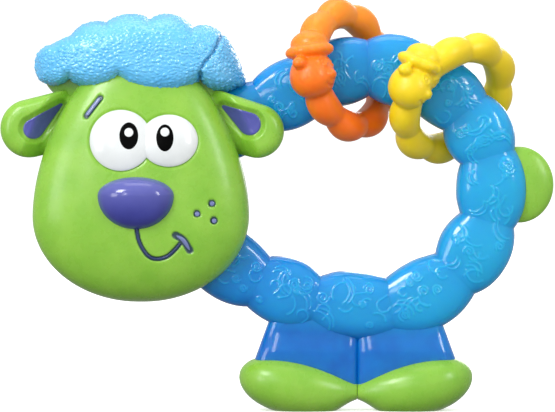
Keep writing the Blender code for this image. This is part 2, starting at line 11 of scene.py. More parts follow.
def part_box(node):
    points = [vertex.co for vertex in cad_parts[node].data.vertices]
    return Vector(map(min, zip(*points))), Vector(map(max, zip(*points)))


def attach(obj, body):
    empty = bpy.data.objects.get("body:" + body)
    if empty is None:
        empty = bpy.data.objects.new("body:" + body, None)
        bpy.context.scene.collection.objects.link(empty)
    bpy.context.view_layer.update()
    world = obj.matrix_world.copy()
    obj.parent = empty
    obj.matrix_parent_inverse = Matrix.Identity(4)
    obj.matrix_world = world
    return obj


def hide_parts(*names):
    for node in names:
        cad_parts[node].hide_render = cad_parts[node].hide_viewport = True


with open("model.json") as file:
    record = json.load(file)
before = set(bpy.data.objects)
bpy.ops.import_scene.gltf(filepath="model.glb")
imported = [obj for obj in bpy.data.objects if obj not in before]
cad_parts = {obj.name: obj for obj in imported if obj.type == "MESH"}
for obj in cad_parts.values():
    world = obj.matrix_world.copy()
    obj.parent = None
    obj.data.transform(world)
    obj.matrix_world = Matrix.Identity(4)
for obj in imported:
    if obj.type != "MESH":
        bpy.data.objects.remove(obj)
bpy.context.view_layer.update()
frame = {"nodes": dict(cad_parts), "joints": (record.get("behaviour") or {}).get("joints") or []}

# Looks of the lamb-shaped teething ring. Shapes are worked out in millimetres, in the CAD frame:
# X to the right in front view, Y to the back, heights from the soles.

MM = 0.001
TAU = 2.0 * pi


def node_box(*names):
    """Lowest and highest corner of CAD nodes, in millimetres."""
    lows, highs = zip(*[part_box(name) for name in names])
    return np.min(lows, axis=0) / MM, np.max(highs, axis=0) / MM


def middle_of(*names):
    low, high = node_box(*names)
    return (low + high) / 2.0


# ---- driving dimensions

SEAM = 0.06  # half the width of the line between front and rear mouldings
PLANE_Y = (node_box("ring_front_shell")[1][1] + node_box("ring_rear_shell")[0][1]) / 2.0
HALVES = ((-1, "front"), (1, "rear"))  # side of the parting plane
HANDS = ((-1, "left"), (1, "right"))  # as seen in the photo

# Ring: an arc about the joints' axis, whose two ends run into the head
RING_X, _, RING_Z = np.array(frame["joints"][0]["pos_m"]) / MM
RING_R = 33.0
ARC_START = 115.0  # degrees, anticlockwise from +X
ARC_END = -95.0
UPPER_END = (-45.1, 13.5)  # from the ring's middle
LOWER_END = (-47.3, -14.3)
UPPER_HANDLE = (8.5, 5.6)  # of the curve that joins each end to the arc
LOWER_HANDLE = (9.2, -10.3)
UPPER_ARC_PULL = 10.0
LOWER_ARC_PULL = 20.0
LOBE_HALF_WIDTH = 9.35
CUSP_HALF_WIDTH = 7.8
LOBE_HALF_DEPTH = 6.1
CUSP_HALF_DEPTH = 5.4
TUBE_BOX = 2.6  # superellipse exponent of the tube's section
NECK_LENGTH = 30.0
NECK_HALF_DEPTH = 4.0
LOBE_ROUNDNESS = 2.1
CUSP_ANGLES = (92.0, 65.0, 39.0, 15.0, -16.0, -46.0, -81.0)
CUSPS_BEFORE_ARC = (17.2, 1.7)
CUSPS_AFTER_ARC = (12.7, 29.3)
WALL = 1.6  # the bladder's soft skin
FULLER = (0.0, 0.2, 0.0, 0.6, 0.0, 0.3, 0.5, 0.7, 0.6, 0.0, 0.1, 0.6)  # each lobe's extra width
PINCH = 0.8  # how much narrower the tube is at one cusp, over the left leg
PINCH_REACH = 3.0
PINCHED = 10  # that cusp's number, from the upper end

# Legs and boots, measured from the plane between the two legs
LEGS_X = middle_of("left_boot_front", "right_boot_front")[0]
LEG_HALF_WIDTH = {-1: 28.0, 1: 26.9}
LEG_TOP_Z = 31.0
LEG_HALF_DEPTH = 5.0
LEG_SPLAY = 0.37
LEG_SPLAY_Z = 16.0
LEG_BOX = 3.6
LEG_OVERLAP = 0.4  # how far each leg reaches over that plane
LEG_SINK = 0.5  # how far it goes below the middle of the boot
LEG_THINS = 0.9  # how much its half depth shrinks towards the tube
LEG_THINS_REACH = 6.0
BOOT_OUTER_X = 32.6
BOOT_LENGTHS = {-1: 1.0, 1: 0.976}
BOOT_INNER_LIFT = 0.42  # how far the sole curves up between the boots, in half heights
BOOT_LIFT_REACH = 8.0
BOOT_FULLER = 0.22  # how much fuller the outer end is
BOOT_HALF = (17.6, 9.0, 7.7)
BOOT_INNER_Z = 4.9
BOOT_RISE = 4.3  # how much higher its middle lies at the outer end
BOOT_BEND = 1.5

# Head
HEAD_X = middle_of("head_front_shell")[0]
HEAD_BOTTOM, HEAD_TOP = (corner[2] for corner in node_box("head_front_shell"))
HEAD_DOWN = 23.7
HEAD_WIDE_Z = HEAD_BOTTOM + HEAD_DOWN
HEAD_UP = HEAD_TOP - HEAD_WIDE_Z
HEAD_HALF_WIDTH = 29.7
HEAD_FRONT = 17.0
HEAD_REAR = 12.6
HEAD_BOX = 2.6
HEAD_WALL = 7.0  # depth of its straight side, in front of the parting plane
HEAD_WALL_EDGE = 0.16
HEAD_DOME = 0.85  # power of the width that its depth follows
HEAD_CROWN = (1.8, 0.62)  # powers that round its top

# Face, from the middles of the nose and of the eye plate
FACE_X, FACE_Z = middle_of("nose")[0] + 0.5, middle_of("nose")[2] + 0.5
NOSE_HALF = (10.5, 6.4)  # to the side and to the front
NOSE_UP, NOSE_DOWN = 5.2, 9.3  # from its widest level
NOSE_WIDE = 1.9  # height of its widest level over the face's middle
EYE_X, _, EYE_Z = middle_of("eye_plate")
# Each eye's middle, half width and half height
EYES = ((EYE_X - 5.1, EYE_Z + 0.2, 8.5, 8.3), (EYE_X + 8.0, EYE_Z + 0.1, 7.9, 7.1))
# Each pupil's place in its eye, its half width and half height, and how high its glint lies
PUPILS = ((2.25, 1.25, 2.56, 3.66, 0.95), (-1.05, 0.8, 2.36, 3.66, 1.6))
GLINT_R = 1.2

# Ears: each is drawn round a circle at its free end and one at its root, and its lining round two
# more. Circles are given as the distance from the head's middle, the height and the radius.
EARS = {"left": ((30.4, 77.9, 8.0), (20.3, 80.4, 8.0), (29.3, 77.8, 2.7), (21.9, 84.4, 0.4)),
        "right": ((31.9, 77.2, 7.4), (20.3, 80.4, 8.0), (29.8, 79.2, 3.1), (22.7, 83.8, 0.5))}
EAR_Y = middle_of("left_ear")[1]
EAR_HALF_DEPTH = 2.9
EAR_RIM = 3.6  # how wide its rounded edge is
EAR_DIP = 5.6  # how far an ear bends back to reach behind the edge of the face
EAR_DIP_REACH = 6.5
LINING_DEPTH = 1.3  # how far the lining lies below the ear's rim
LINING_SLOPE = 1.7

# Cap, and the crest: the head's moulding just under it, which fills the corners above the ears
CAP_X, _, CAP_Z = middle_of("cap_front")
CAP_FRONT = 14.6
CAP_REAR = 13.6
CREST_X, CREST_Z = CAP_X + 1.2, CAP_Z - 6.8
CREST_HALF = (26.8, 8.5, 11.6)

# Tail
TAIL_HALF = (9.5, 4.0, 10.5)
TAIL_X = node_box("tail_front")[1][0] - TAIL_HALF[0]
TAIL_Z = middle_of("tail_front")[2] - 1.1
TAIL_BACK = 1.2  # how far its middle lies behind the parting plane

# Soft loops on the ring. Band: its radius, how far its middle lies outside the tube's centreline,
# the phase of its lobes, its place along the ring and its lean, in degrees. Small head on it: its
# place round the band and nod in degrees, its shift off the band's plane, how broad it is and how
# much of its inner side is left.
LOOPS = {"orange_loop": (15.5, 0.0, 0.0, 101.7, 38.5, 83.0, 0.0, 0.1, 1.08, 1.0),
         "yellow_loop": (15.9, 0.2, pi / 2, 47.7, 41.5, 103.0, 16.0, -1.2, 1.12, 0.5)}
LOOP_LOBES = 9
LOOP_LOBE_R = 4.25
LOOP_CUSP_R = 3.35
LOOP_SWELL = 0.75  # how far a lobe's middle lies outside the band's centreline
LOOP_BOX = 2.15
LOOP_VOXEL = 0.38
# Parts of the small head: middle and half sizes, off the band's plane, outwards and up; scallops
MINI_PARTS = (
    ((1.2, 2.0, -1.2), (5.8, 6.1, 6.6), 0),
    ((1.0, 1.6, 5.2), (6.1, 6.4, 1.9), 7),
    ((0.6, 0.8, 7.8), (4.9, 4.9, 3.2), 0),
    ((2.0, 7.6, 2.0), (1.8, 2.4, 1.8), 0),
)


# ---- mesh helpers

def superellipse(angle, exponent):
    """Points of a unit superellipse in the directions of the given angles."""
    c, s = np.cos(angle), np.sin(angle)
    reach = (np.abs(c) ** exponent + np.abs(s) ** exponent) ** (-1.0 / exponent)
    return c * reach, s * reach


def section(count, exponent, shift=0.0):
    """Such points, evenly spaced in angle."""
    return superellipse(TAU * (np.arange(count) + shift) / count, exponent)


def stacked(*parts):
    return np.stack(parts, axis=-1)


def polar(radius, angle):
    return stacked(radius * np.cos(angle), radius * np.sin(angle))


def in_depth(flat, y):
    """3-D points from places in front view and their Y."""
    return stacked(flat[..., 0], y, flat[..., 1])


def grid_faces(rows, columns, wrap):
    """Quads over a grid of points laid out row by row."""
    across = np.arange(columns if wrap else columns - 1)
    i, j = np.meshgrid(np.arange(rows - 1), across, indexing="ij")
    k = (j + 1) % columns
    corners = stacked(i * columns + j, i * columns + k, (i + 1) * columns + k, (i + 1) * columns + j)
    return corners.reshape(-1, 4).tolist()


def make_mesh(name, points, faces):
    mesh = bpy.data.meshes.new(name)
    mesh.from_pydata((points * MM).tolist(), [], faces)
    bm = bmesh.new()
    bm.from_mesh(mesh)
    bmesh.ops.recalc_face_normals(bm, faces=bm.faces)
    bm.to_mesh(mesh)
    bm.free()
    return mesh


def coordinates(mesh):
    """The mesh's points in millimetres."""
    flat = np.empty(len(mesh.vertices) * 3)
    mesh.vertices.foreach_get("co", flat)
    return flat.reshape(-1, 3) / MM


def set_coordinates(mesh, points):
    mesh.vertices.foreach_set("co", (points * MM).ravel())
    mesh.update()


def push_out(mesh, amount):
    """Moves each point along its normal by its own amount in millimetres."""
    normals = np.empty(len(mesh.vertices) * 3)
    mesh.vertex_normals.foreach_get("vector", normals)
    set_coordinates(mesh, coordinates(mesh) + normals.reshape(-1, 3) * amount[:, None])


def set_tone(mesh, values):
    """Stores how far each point's colour moves towards the material's light_tone, from 0 to 1. Mostly
    this is painted light and shade; on the ear linings it sets their colour.
    """
    layer = mesh.attributes.new("tone", "FLOAT", "POINT")
    layer.data.foreach_set("value", np.clip(values, 0.0, 1.0).astype(np.float32))


def new_object(name, data):
    item = bpy.data.objects.new(name, data)
    bpy.context.scene.collection.objects.link(item)
    return item


def add_piece(mesh, finish, node=None, body="lamb", sharp=55.0):
    """Adds a mesh that rides on a body and may stand for a CAD node."""
    mesh.shade_smooth()
    mesh.set_sharp_from_angle(angle=radians(sharp))
    mesh.materials.clear()
    mesh.materials.append(finish)
    piece = new_object(mesh.name, mesh)
    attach(piece, body)
    if node:
        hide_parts(node)


def evaluated(item, name):
    """A mesh with the object's modifiers applied. The object is removed."""
    depsgraph = bpy.context.evaluated_depsgraph_get()
    mesh = bpy.data.meshes.new_from_object(item.evaluated_get(depsgraph))
    mesh.name = name
    bpy.data.objects.remove(item, do_unlink=True)
    return mesh


def combined(name, mesh, *steps):
    """The mesh after a row of (operation, other mesh) solid operations."""
    item = new_object("scratch", mesh)
    others = []
    for operation, other in steps:
        others.append(new_object("scratch", other))
        modifier = item.modifiers.new(operation, "BOOLEAN")
        modifier.operation = operation
        modifier.solver = "MANIFOLD"
        modifier.object = others[-1]
    result = evaluated(item, name)
    for other in others:
        bpy.data.objects.remove(other, do_unlink=True)
    return result


def half_space(side):
    """Box that holds all in front of (side -1) or behind (side 1) the parting plane."""
    bm = bmesh.new()
    bmesh.ops.create_cube(bm, size=1.0)
    mesh = bpy.data.meshes.new("box")
    bm.to_mesh(mesh)
    bm.free()
    near, far = sorted((PLANE_Y + side * SEAM, side * 60.0))
    set_coordinates(mesh, np.where(coordinates(mesh) < 0.0, (-200.0, near, -50.0), (200.0, far, 250.0)))
    return mesh


def capped_tube(name, points):
    """Closed mesh of a tube with flat ends, from its points ring by ring."""
    rows, columns = points.shape[:2]
    points = points.reshape(-1, 3)
    faces = grid_faces(rows, columns, True)
    faces.append(list(range(columns)))
    faces.append(list(range(len(points) - columns, len(points))))
    return make_mesh(name, points, faces)


def rounded(surface, angle, rows, wrap):
    """Points and faces of surface(angle, latitude), which takes and gives arrays."""
    latitude = pi * (np.arange(1, rows) / rows - 0.5)
    grid = stacked(*surface(*np.meshgrid(angle, latitude))).reshape(-1, 3)
    poles = stacked(*surface(np.zeros(2), np.array([-pi / 2, pi / 2])))
    count, width = len(grid), len(angle)
    faces = grid_faces(rows - 1, width, wrap)
    for j in range(width if wrap else width - 1):
        k = (j + 1) % width
        faces.append((count, k, j))
        faces.append((count + 1, count - width + j, count - width + k))
    return np.concatenate([grid, poles]), faces


def blob(name, surface, columns, rows):
    """Closed mesh of such a surface."""
    return make_mesh(name, *rounded(surface, TAU * np.arange(columns) / columns, rows, True))


def half_blob(name, surface, columns, rows, side):
    """Half of such a blob, in front of (side -1) or behind (side 1) the parting plane."""
    width, start = columns + 1, 0.0 if side < 0 else pi
    points, faces = rounded(surface, start + pi * np.arange(width) / columns, rows, False)
    faces += [(a, a + width, a + width + columns, a + columns)
              for a in range(0, (rows - 2) * width, width)]
    count = len(points) - 2
    faces += [(count, 0, columns), (count + 1, count - 1, count - width)]
    limit = PLANE_Y + side * SEAM
    points[:, 1] = np.minimum(points[:, 1], limit) if side < 0 else np.maximum(points[:, 1], limit)
    return make_mesh(name, points, faces)


def lump(x, z, half, box, dome, behind=0.0):
    """Surface of a rounded lump on the parting plane, whose middle lies that far behind it."""
    def surface(angle, latitude):
        across, front = superellipse(angle, box)
        ratio = np.cos(latitude)
        depth = half[1] - np.sign(front) * behind
        return (x + across * ratio * half[0], PLANE_Y - front * ratio ** dome * depth,
                z + np.sin(latitude) * half[2])
    return surface


LINE_STEPS = 8


def smooth_line(points):
    """A smooth run of points through the given ones."""
    p = np.array(points, float)
    p = np.concatenate([[2 * p[0] - p[1]], p, [2 * p[-1] - p[-2]]])
    run = []
    for a, b, c, d in zip(p, p[1:], p[2:], p[3:]):
        for t in np.arange(LINE_STEPS) / LINE_STEPS:
            run.append(0.5 * (2 * b + (c - a) * t + (2 * a - 5 * b + 4 * c - d) * t * t
                              + (3 * b - a - 3 * c + d) * t ** 3))
    run.append(p[-2])
    return np.array(run)


def run_along(line):
    """Distance of each of the line's points from its start, along the line."""
    return np.concatenate([[0.0], np.cumsum(np.hypot(*np.diff(line, axis=0).T))])


def places_at(s, run, line):
    """Points at distances s along a line."""
    return stacked(*[np.interp(s, run, line[:, i]) for i in (0, 1)])


def distance_to(points, line):
    """Distance of each 2-D point to a line of points."""
    best = np.full(len(points), np.inf)
    for a, b in zip(line[:-1], line[1:]):
        ab = b - a
        t = np.clip(((points - a) @ ab) / (ab @ ab), 0.0, 1.0)
        best = np.minimum(best, np.hypot(*(points - a - t[:, None] * ab).T))
    return best


def smoothstep(x):
    x = np.clip(x, 0.0, 1.0)
    return x * x * (3.0 - 2.0 * x)


# ---- materials

def set_inputs(node, values):
    for socket, value in values.items():
        node.inputs[socket].default_value = value


def material(name, tones, roughness, grain, grain_size=0.35, mottle=7.0, coat=(0.0, 0.05),
             inside=(0.0, (1.0, 1.0, 1.0), 0.002), light_tone=None, scuffs=0.06, specular=0.5):
    """Moulded plastic: mottled colour, fine grain and worn, uneven gloss. coat is its weight and
    roughness, inside the subsurface's weight, radius and scale. light_tone shows where tone is 1; tone
    mostly carries painted light and shade."""
    made = bpy.data.materials.new(name)
    made.use_nodes = True
    add, link = made.node_tree.nodes.new, made.node_tree.links.new
    shader = made.node_tree.nodes["Principled BSDF"]
    place = add("ShaderNodeTexCoord")

    def noise_node(size_mm, detail):
        node = add("ShaderNodeTexNoise")
        set_inputs(node, {"Scale": 1.0 / (size_mm * MM), "Detail": detail})
        link(place.outputs["Object"], node.inputs["Vector"])
        return node.outputs["Fac"]

    def ramp(source, low, high, start, end):
        node = add("ShaderNodeMapRange")
        set_inputs(node, {"From Min": low, "From Max": high, "To Min": start, "To Max": end})
        link(source, node.inputs["Value"])
        return node.outputs["Result"]

    def mix(factor, a, b):
        node = add("ShaderNodeMix")
        node.data_type = "RGBA"
        link(factor, node.inputs["Factor"])
        for value, socket in ((a, node.inputs[6]), (b, node.inputs[7])):
            if isinstance(value, tuple):
                socket.default_value = (*value, 1.0)
            else:
                link(value, socket)
        return node.outputs[2]

    colour = mix(ramp(noise_node(mottle, 3.0), 0.3, 0.7, 0.0, 1.0), *tones)
    # The tone attribute blends the colour towards light_tone: mostly painted light and shade.
    if light_tone:
        tone = add("ShaderNodeAttribute")
        tone.attribute_name = "tone"
        colour = mix(tone.outputs["Fac"], colour, light_tone)
    specks = noise_node(0.5, 2.0)
    darker = tuple(0.82 * c for c in tones[0])
    colour = mix(ramp(specks, 0.62, 0.78, 0.0, 0.08), colour, darker)
    link(colour, shader.inputs["Base Color"])

    worn = ramp(noise_node(2.2, 2.0), 0.35, 0.75, roughness - scuffs / 2, roughness + scuffs)
    link(worn, shader.inputs["Roughness"])

    fine = noise_node(grain_size, 4.0)
    bump = add("ShaderNodeBump")
    set_inputs(bump, {"Distance": grain * MM})
    link(fine, bump.inputs["Height"])
    link(bump.outputs["Normal"], shader.inputs["Normal"])

    set_inputs(shader, {
        "Coat Weight": coat[0], "Coat Roughness": coat[1], "Specular IOR Level": specular,
        "Subsurface Weight": inside[0], "Subsurface Radius": inside[1], "Subsurface Scale": inside[2]})
    return made


# The light_tone colours below are where painted light and shade take each material: NAVY for painted
# shade on the green, the blue one for the ring's painted glow, the darker blue for painted shade on the
# cap, the purple one for the nose's painted light and the ear linings' own colour, and the orange one
# for the loop's painted light. NAVY is also the mouth paint's own colour.
NAVY = (0.012, 0.025, 0.09)
green = material("green_plastic", ((0.205, 0.465, 0.035), (0.265, 0.525, 0.055)), 0.28, 0.010,
                 inside=(0.25, (0.5, 1.0, 0.15), 0.0025), light_tone=NAVY, coat=(0.12, 0.22))
blue = material("clear_blue", ((0.0, 0.13, 0.52), (0.001, 0.175, 0.62)), 0.13, 0.015, mottle=6.0,
                inside=(0.75, (0.1, 0.5, 1.0), 0.008), light_tone=(0.012, 0.42, 0.99),
                coat=(0.5, 0.09), specular=0.3)
fleece = material("fleece_blue", ((0.09, 0.46, 0.83), (0.13, 0.52, 0.87)), 0.22, 0.03, grain_size=0.6,
                  inside=(0.1, (0.2, 0.6, 1.0), 0.0008), light_tone=(0.012, 0.20, 0.45),
                  coat=(0.3, 0.15), specular=0.9)
purple = material("purple_plastic", ((0.03, 0.036, 0.26), (0.045, 0.052, 0.32)), 0.15, 0.003,
                  inside=(0.2, (0.6, 0.5, 1.0), 0.001), light_tone=(0.115, 0.125, 0.41),
                  coat=(0.3, 0.05), scuffs=0.03, specular=0.45)
white = material("eye_white", ((0.66, 0.69, 0.69), (0.74, 0.77, 0.77)), 0.2, 0.004,
                 inside=(0.2, (1.0, 1.0, 1.0), 0.001), coat=(0.3, 0.12), scuffs=0.05)
black = material("pupil_black", ((0.001,) * 3, (0.003,) * 3), 0.35, 0.004, specular=0.03)
mouth_paint = material("mouth_paint", (NAVY, (0.03, 0.05, 0.14)), 0.25, 0.01)
groove_paint = material("groove_paint", ((0.13, 0.16, 0.36), (0.22, 0.26, 0.48)), 0.2, 0.01,
                        coat=(0.4, 0.05))
orange = material("orange_soft", ((0.93, 0.155, 0.003), (0.97, 0.20, 0.006)), 0.38, 0.014,
                  inside=(0.45, (1.0, 0.35, 0.05), 0.003), light_tone=(0.97, 0.29, 0.006),
                  coat=(0.1, 0.25))
yellow = material("yellow_soft", ((0.82, 0.60, 0.006), (0.88, 0.67, 0.012)), 0.38, 0.014,
                  inside=(0.45, (1.0, 0.8, 0.1), 0.003), coat=(0.1, 0.25))
water = material("water_blue", ((0.20, 0.55, 0.86), (0.28, 0.65, 0.93)), 0.05, 0.004, mottle=12.0)


# ---- the ring's centreline

def on_arc(degrees):
    angle = radians(degrees)
    return np.array([RING_R * cos(angle), RING_R * sin(angle)])


def clockwise(degrees):
    angle = radians(degrees)
    return np.array([sin(angle), -cos(angle)])


def bezier(a, b, c, d, count):
    t = (np.arange(count) / count)[:, None]
    s = 1.0 - t
    return s ** 3 * a + 3 * s * s * t * b + 3 * s * t * t * c + t ** 3 * d


ARC_STEPS = 400
END_STEPS = 120
upper_end, lower_end = np.array(UPPER_END), np.array(LOWER_END)
arc_first, arc_last = on_arc(ARC_START), on_arc(ARC_END)
LINE = np.concatenate([
    bezier(upper_end, upper_end + UPPER_HANDLE,
           arc_first - UPPER_ARC_PULL * clockwise(ARC_START), arc_first, END_STEPS),
    [on_arc(ARC_START + (ARC_END - ARC_START) * i / ARC_STEPS) for i in range(ARC_STEPS)],
    bezier(arc_last, arc_last + LOWER_ARC_PULL * clockwise(ARC_END),
           lower_end + LOWER_HANDLE, lower_end, END_STEPS),
    [lower_end],
])
ALONG = run_along(LINE)
TANGENT = np.gradient(LINE, ALONG, axis=0)
ARC_BEGIN, ARC_FINISH, LENGTH = ALONG[END_STEPS], ALONG[END_STEPS + ARC_STEPS], ALONG[-1]
CUSPS = np.array([0.0] + [ARC_BEGIN - s for s in CUSPS_BEFORE_ARC]
                 + [ARC_BEGIN + (ARC_START - a) * RING_R * radians(1.0) for a in CUSP_ANGLES]
                 + [ARC_FINISH + s for s in CUSPS_AFTER_ARC] + [LENGTH])


def line_at(s):
    """Centre and outward normal of the tube, in the ring's plane, at distances s along it."""
    centre, tangent = places_at(s, ALONG, LINE), places_at(s, ALONG, TANGENT)
    tangent /= np.linalg.norm(tangent, axis=-1, keepdims=True)
    return centre, stacked(-tangent[..., 1], tangent[..., 0])


def tube(name, offset, step, columns, inset=0.0):
    """The bladder's lobed tube, with each point's place along and across it, how far it lies in
    front or behind and how far its lobe swells there."""
    stations = [np.linspace(a, b, max(3, int((b - a) / step)), endpoint=False)
                for a, b in zip(CUSPS, CUSPS[1:])]
    s = np.concatenate(stations + [[LENGTH]])
    lobe = np.clip(np.searchsorted(CUSPS, s, side="right") - 1, 0, len(CUSPS) - 2)
    t = (s - CUSPS[lobe]) / (CUSPS[lobe + 1] - CUSPS[lobe])
    bulge = 1.0 - np.abs(2.0 * t - 1.0) ** LOBE_ROUNDNESS
    width = CUSP_HALF_WIDTH + (LOBE_HALF_WIDTH - CUSP_HALF_WIDTH) * bulge + offset
    width += np.array(FULLER)[lobe] * bulge
    width -= PINCH * np.exp(-((s - CUSPS[PINCHED]) / PINCH_REACH) ** 2)
    swell = 0.45 * np.sin(pi * t) ** 2 + 0.55 * bulge
    depth = CUSP_HALF_DEPTH + (LOBE_HALF_DEPTH - CUSP_HALF_DEPTH) * swell + offset
    neck = np.clip(s / NECK_LENGTH, 0.0, 1.0) ** 2
    depth = (NECK_HALF_DEPTH + offset) * (1.0 - neck) + depth * neck
    centre, normal = line_at(np.clip(s, inset, LENGTH - inset))
    across, back = section(columns, TUBE_BOX, 0.5)
    reach = across * width[:, None]
    mesh = capped_tube(name, stacked(
        RING_X + centre[:, 0, None] + normal[:, 0, None] * reach,
        PLANE_Y + back * depth[:, None],
        RING_Z + centre[:, 1, None] + normal[:, 1, None] * reach))
    flat = stacked(np.repeat(s, columns), reach.ravel())
    return mesh, flat, np.tile(back, len(s)), np.repeat(bulge, columns)


CURLS_PER_LOBE = 13
CURL_SIZES = (0.9, 1.9)
CURL_SPREAD = 6.0  # to each side of the tube's middle line
CURL_HEIGHT = 0.23
CURL_HALF_WIDTH = 0.21
PAIR_GAP = 1.25


def curl_strokes(rng):
    """Moulded curls scattered over the lobes, as lines of (along, across) points."""
    strokes = []
    for a, b in zip(CUSPS[1:], CUSPS[2:]):
        for _ in range(CURLS_PER_LOBE):
            along = a + (b - a) * rng.uniform(0.08, 0.92)
            centre = np.array([along, rng.uniform(-CURL_SPREAD, CURL_SPREAD)])
            turn = rng.uniform(0.0, TAU)
            size = rng.uniform(*CURL_SIZES)
            kind = rng.choice(("spiral", "pair", "arc", "hook"))
            heading = np.array([cos(turn), sin(turn)])
            if kind == "spiral":
                angles = np.linspace(0.0, 1.6 * TAU, 30)
                runs = [polar(size * (0.25 + 0.75 * angles / angles[-1]), angles + turn)]
            elif kind == "hook":
                tail = np.array([[size, -1.3 * size], [size, -0.6 * size]])
                hook = np.concatenate([tail, polar(size, np.linspace(0.0, 0.62 * TAU, 16))])
                spin = np.array([[heading[0], -heading[1]], [heading[1], heading[0]]])
                runs = [hook @ spin.T]
            else:
                wide = 2.1 * size
                bend = polar(wide, turn + np.linspace(-0.16 * TAU, 0.16 * TAU, 12)) - wide * heading
                runs = [bend]
                if kind == "pair":
                    runs.append(bend + PAIR_GAP * heading)
            strokes += [centre + run for run in runs]
    return strokes


def leg(name, hand, offset, columns, rows):
    """One leg of the bladder, from inside the tube down into its boot."""
    half_width = LEG_HALF_WIDTH[hand]
    out, front = section(columns, LEG_BOX, 0.5)
    reach = half_width / 2 - LEG_OVERLAP + out * (half_width / 2 + offset)
    top = LEG_TOP_Z + offset
    bottom = boot_middle_z(reach) - LEG_SINK - offset
    t = (np.arange(rows + 1) / rows)[:, None]
    z = top + (bottom - top) * t
    reach = reach + LEG_SPLAY * (LEG_SPLAY_Z - z) * np.clip(reach / half_width, 0.0, None)
    half_depth = LEG_HALF_DEPTH - LEG_THINS * smoothstep((z - LEG_SPLAY_Z) / LEG_THINS_REACH) + offset
    return capped_tube(name, stacked(LEGS_X + hand * reach, PLANE_Y + front * half_depth, z))


def boot_middle_z(reach):
    return BOOT_INNER_Z + BOOT_RISE * (np.clip(reach, 0.0, None) / BOOT_OUTER_X) ** BOOT_BEND


def inner_solid(name, gap, leg_gap, step, columns, rows):
    """A plainer solid that stays clear of the bladder's outside: its hollow, or its water."""
    legs = [("UNION", leg("leg", hand, -leg_gap, columns, rows)) for hand, _ in HANDS]
    return combined(name, tube(name, -gap, step, columns, gap)[0], *legs)


def painted_ring_light(points):
    """Painted glow and shade: lighter towards the ring's right and its upper left, as if light gathered
    in the water there.
    The legs stay dark: painted shade.
    """
    x = (points[:, 0] - RING_X) / 45.0
    z = (points[:, 2] - RING_Z) / 55.0
    painted_glow = 0.40 + 0.38 * x - 0.10 * z + 0.35 * smoothstep(-x) * smoothstep(z / 0.4)
    # painted shade on the legs
    legs = smoothstep((26.0 - points[:, 2]) / 6.0)
    return painted_glow * (1.0 - legs) + legs * (0.03 + 0.20 * x)


RIPPLE = 0.12  # height of the skin's slow unevenness
RIPPLE_RATE = 0.16


def make_bladder():
    skin, flat, back, bulge = tube("bladder", 0.0, 0.22, 224)
    height = np.zeros(len(flat))
    for stroke in curl_strokes(random.Random(7)):
        near = np.all((flat > stroke.min(axis=0) - 1.0) & (flat < stroke.max(axis=0) + 1.0), axis=1)
        near &= np.abs(back) > 0.4
        if near.any():
            away = distance_to(flat[near], stroke)
            height[near] = np.maximum(height[near], np.exp(-(away / CURL_HALF_WIDTH) ** 2))
    ripple = np.array([noise.noise(Vector((s * RIPPLE_RATE, a * RIPPLE_RATE, 3.0))) for s, a in flat])
    push_out(skin, CURL_HEIGHT * height + RIPPLE * ripple)
    # Painted glow: lighter where the tube's section faces straight forward or back and over each lobe,
    # darker towards its edges.
    painted_front_glow = 0.30 * smoothstep(np.abs(back)) + 0.20 * bulge - 0.26
    # The curls attribute holds painted highlights along the curls, plus that painted glow.
    curls = skin.attributes.new("curls", "FLOAT", "POINT")
    curls.data.foreach_set("value", (0.22 * height + painted_front_glow).astype(np.float32))
    legs = [leg("leg", hand, 0.0, 150, 90) for hand, _ in HANDS]
    hollow = inner_solid("hollow", WALL, WALL, 2.0, 40, 12)
    for side, half in HALVES:
        mesh = combined(f"bladder_{half}", skin.copy(), *[("UNION", one.copy()) for one in legs],
                        ("DIFFERENCE", hollow.copy()), ("INTERSECT", half_space(side)))
        lines = np.zeros(len(mesh.vertices), dtype=np.float32)
        mesh.attributes["curls"].data.foreach_get("value", lines)
        # The tone is all painted light and shade: glow, highlights along the curls and shade on the
        # legs.
        set_tone(mesh, painted_ring_light(coordinates(mesh)) + lines)
        add_piece(mesh, blue, f"ring_{half}_shell")
    fill = inner_solid("water", WALL + 0.3, WALL + 0.6, 1.0, 48, 16)
    add_piece(fill, water, "water_fill")


# ---- head and face

def head_ratio(z):
    """How wide the head is at a height, against its widest level."""
    up = np.clip((z - HEAD_WIDE_Z) / HEAD_UP, 0.0, 1.0)
    down = np.clip((HEAD_WIDE_Z - z) / HEAD_DOWN, 0.0, 1.0)
    crown = (1.0 - up ** HEAD_CROWN[0]) ** HEAD_CROWN[1]
    return np.where(z > HEAD_WIDE_Z, crown, np.sqrt(1.0 - down ** 2))


def face_depth(ratio, front):
    """Y of the face, where front falls from 1 at its middle to 0 at the parting plane."""
    wall = HEAD_WALL * ratio ** 0.4
    y = PLANE_Y - wall * np.clip(front / HEAD_WALL_EDGE, 0.0, 1.0)
    return y - (HEAD_FRONT - wall) * front * ratio ** HEAD_DOME


def head_surface(angle, latitude):
    rise = np.sin(latitude)
    z = HEAD_WIDE_Z + np.where(rise < 0, HEAD_DOWN, HEAD_UP) * rise
    ratio = head_ratio(z)
    across, front = superellipse(angle, HEAD_BOX)
    y = np.where(front > 0, face_depth(ratio, front), PLANE_Y - front * ratio ** HEAD_DOME * HEAD_REAR)
    return HEAD_X + across * ratio * HEAD_HALF_WIDTH, y, z


def face_y(x, z):
    """Y of the face's surface at a place in front view."""
    ratio = np.maximum(head_ratio(z), 1e-6)
    across = np.clip(np.abs(x - HEAD_X) / (ratio * HEAD_HALF_WIDTH), 0.0, 1.0)
    return face_depth(ratio, (1.0 - across ** HEAD_BOX) ** (1.0 / HEAD_BOX))


def eye_reach(x, z):
    """Distance outside the joined outline of the eyes, in millimetres; negative inside."""
    away = [(np.hypot((x - ex) / ew, (z - ez) / eh) - 1.0) * (ew + eh) / 2 for ex, ez, ew, eh in EYES]
    return np.minimum(*away)


def on_face(*offsets):
    return np.array([(FACE_X + x, FACE_Z + z) for x, z in offsets])


